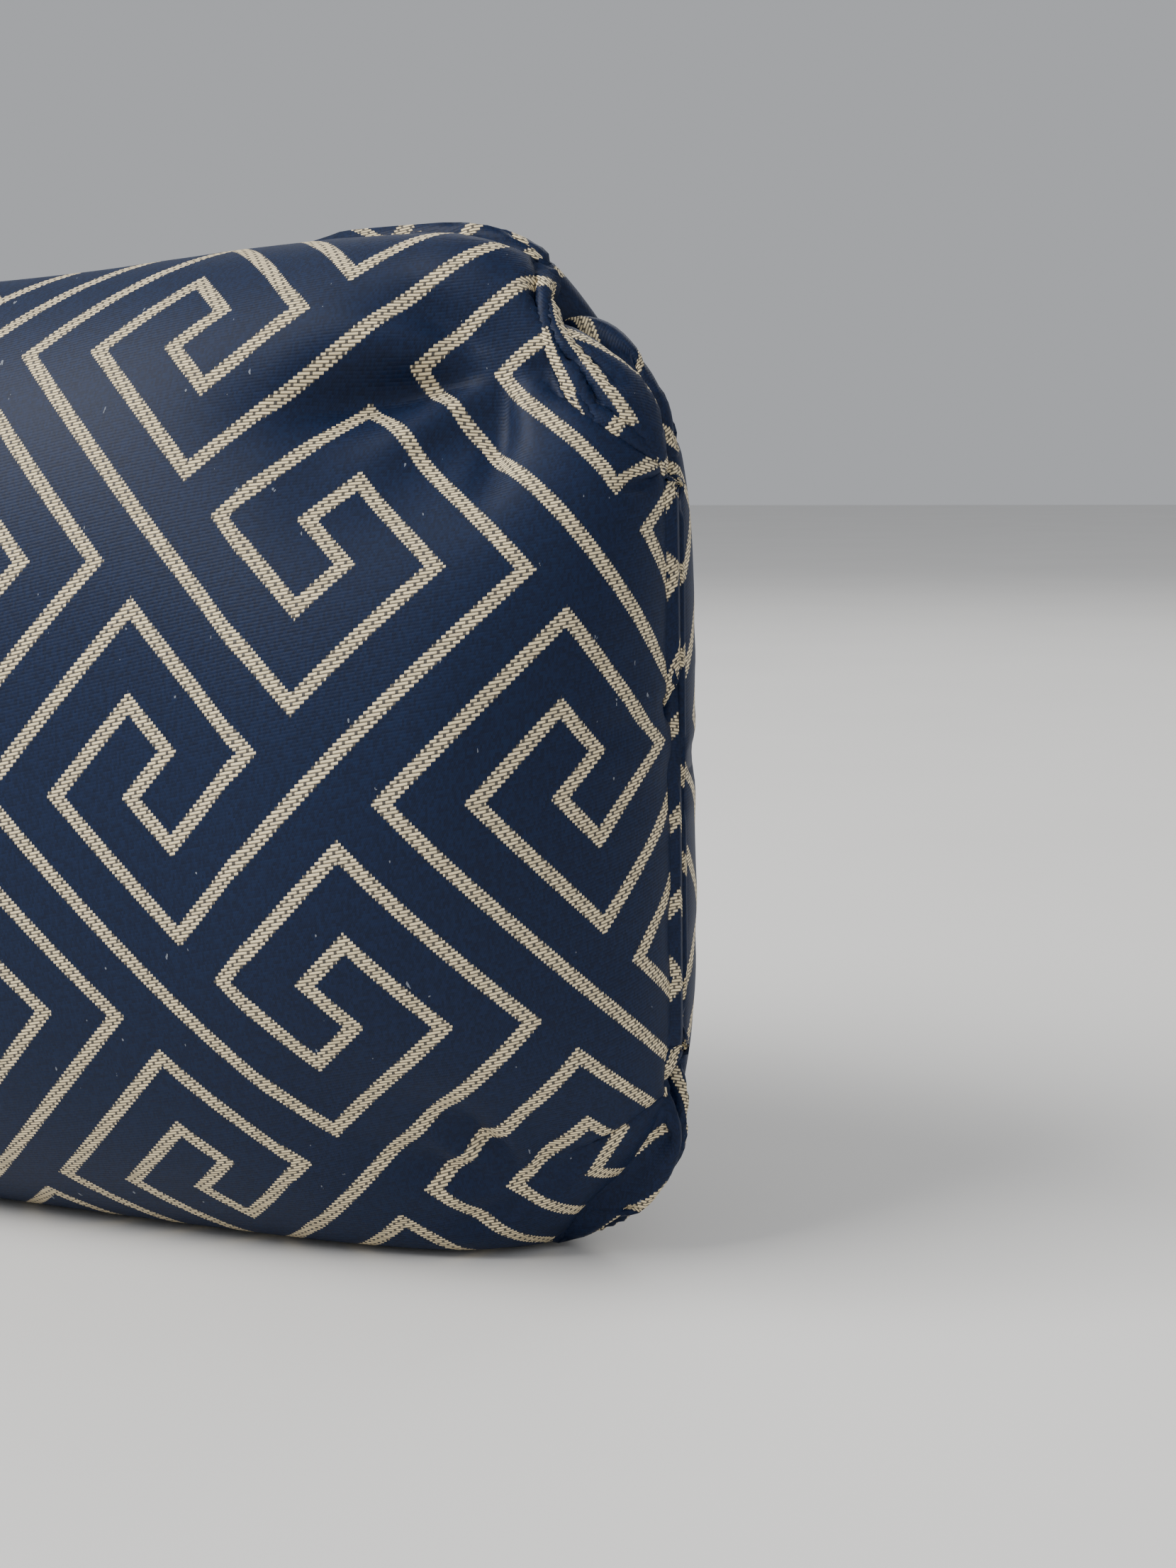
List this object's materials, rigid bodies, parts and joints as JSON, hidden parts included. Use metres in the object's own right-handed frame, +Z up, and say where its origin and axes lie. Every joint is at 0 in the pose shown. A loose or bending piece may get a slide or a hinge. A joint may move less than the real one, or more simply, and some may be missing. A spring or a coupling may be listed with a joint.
{
  "type": "bolster pillow",
  "caption": "Bolster cushion with a front and a back in patterned brocade, seamed round the outline, gathered at its four corners and zipped across the back, for support under the knees, neck or ankles.",
  "frame": {"origin": "centre of the resting edge, under the middle of the bolster", "axes": "+X along the bolster towards its right end as seen from the front, -Y out of the front, +Z up"},
  "size_m": [0.64, 0.1005, 0.1591],
  "materials": {
    "brocade": "satin",
    "thread": "satin",
    "zip_tape": "matte",
    "zip_coil": "satin",
    "zip_metal": "satin",
    "calico": "matte",
    "wadding": "matte",
    "cotton": "matte"
  },
  "bodies": {
    "bolster": {"cover_front": "brocade", "cover_back_upper": "brocade", "cover_back_lower": "brocade", "seam_thread": "thread", "corner_ties_right": "thread", "corner_ties_left": "thread", "zip_tape_upper": "zip_tape", "zip_tape_lower": "zip_tape", "zip_coil_upper": "zip_coil", "zip_coil_lower": "zip_coil", "zip_stitch_upper": "thread", "zip_stitch_lower": "thread", "zip_top_stop": "zip_metal", "zip_bottom_stop": "zip_metal", "liner_front": "calico", "liner_back": "calico", "liner_thread": "thread", "loft_layer": "wadding", "fill_core": "cotton"},
    "slider": {"zip_slider": "zip_metal"},
    "pull": {"zip_pull_tab": "zip_metal"}
  },
  "joints": [
    {"name": "zip_travel", "type": "slide", "parent": "bolster", "child": "slider", "axis": [-1, 0, 0], "range_m": [0, 0.338]},
    {"name": "pull_swing", "type": "hinge", "parent": "slider", "child": "pull", "pos_m": [0.17, 0.05028, 0.076], "axis": [0, 0, -1], "range_deg": [0, 175]}
  ]
}
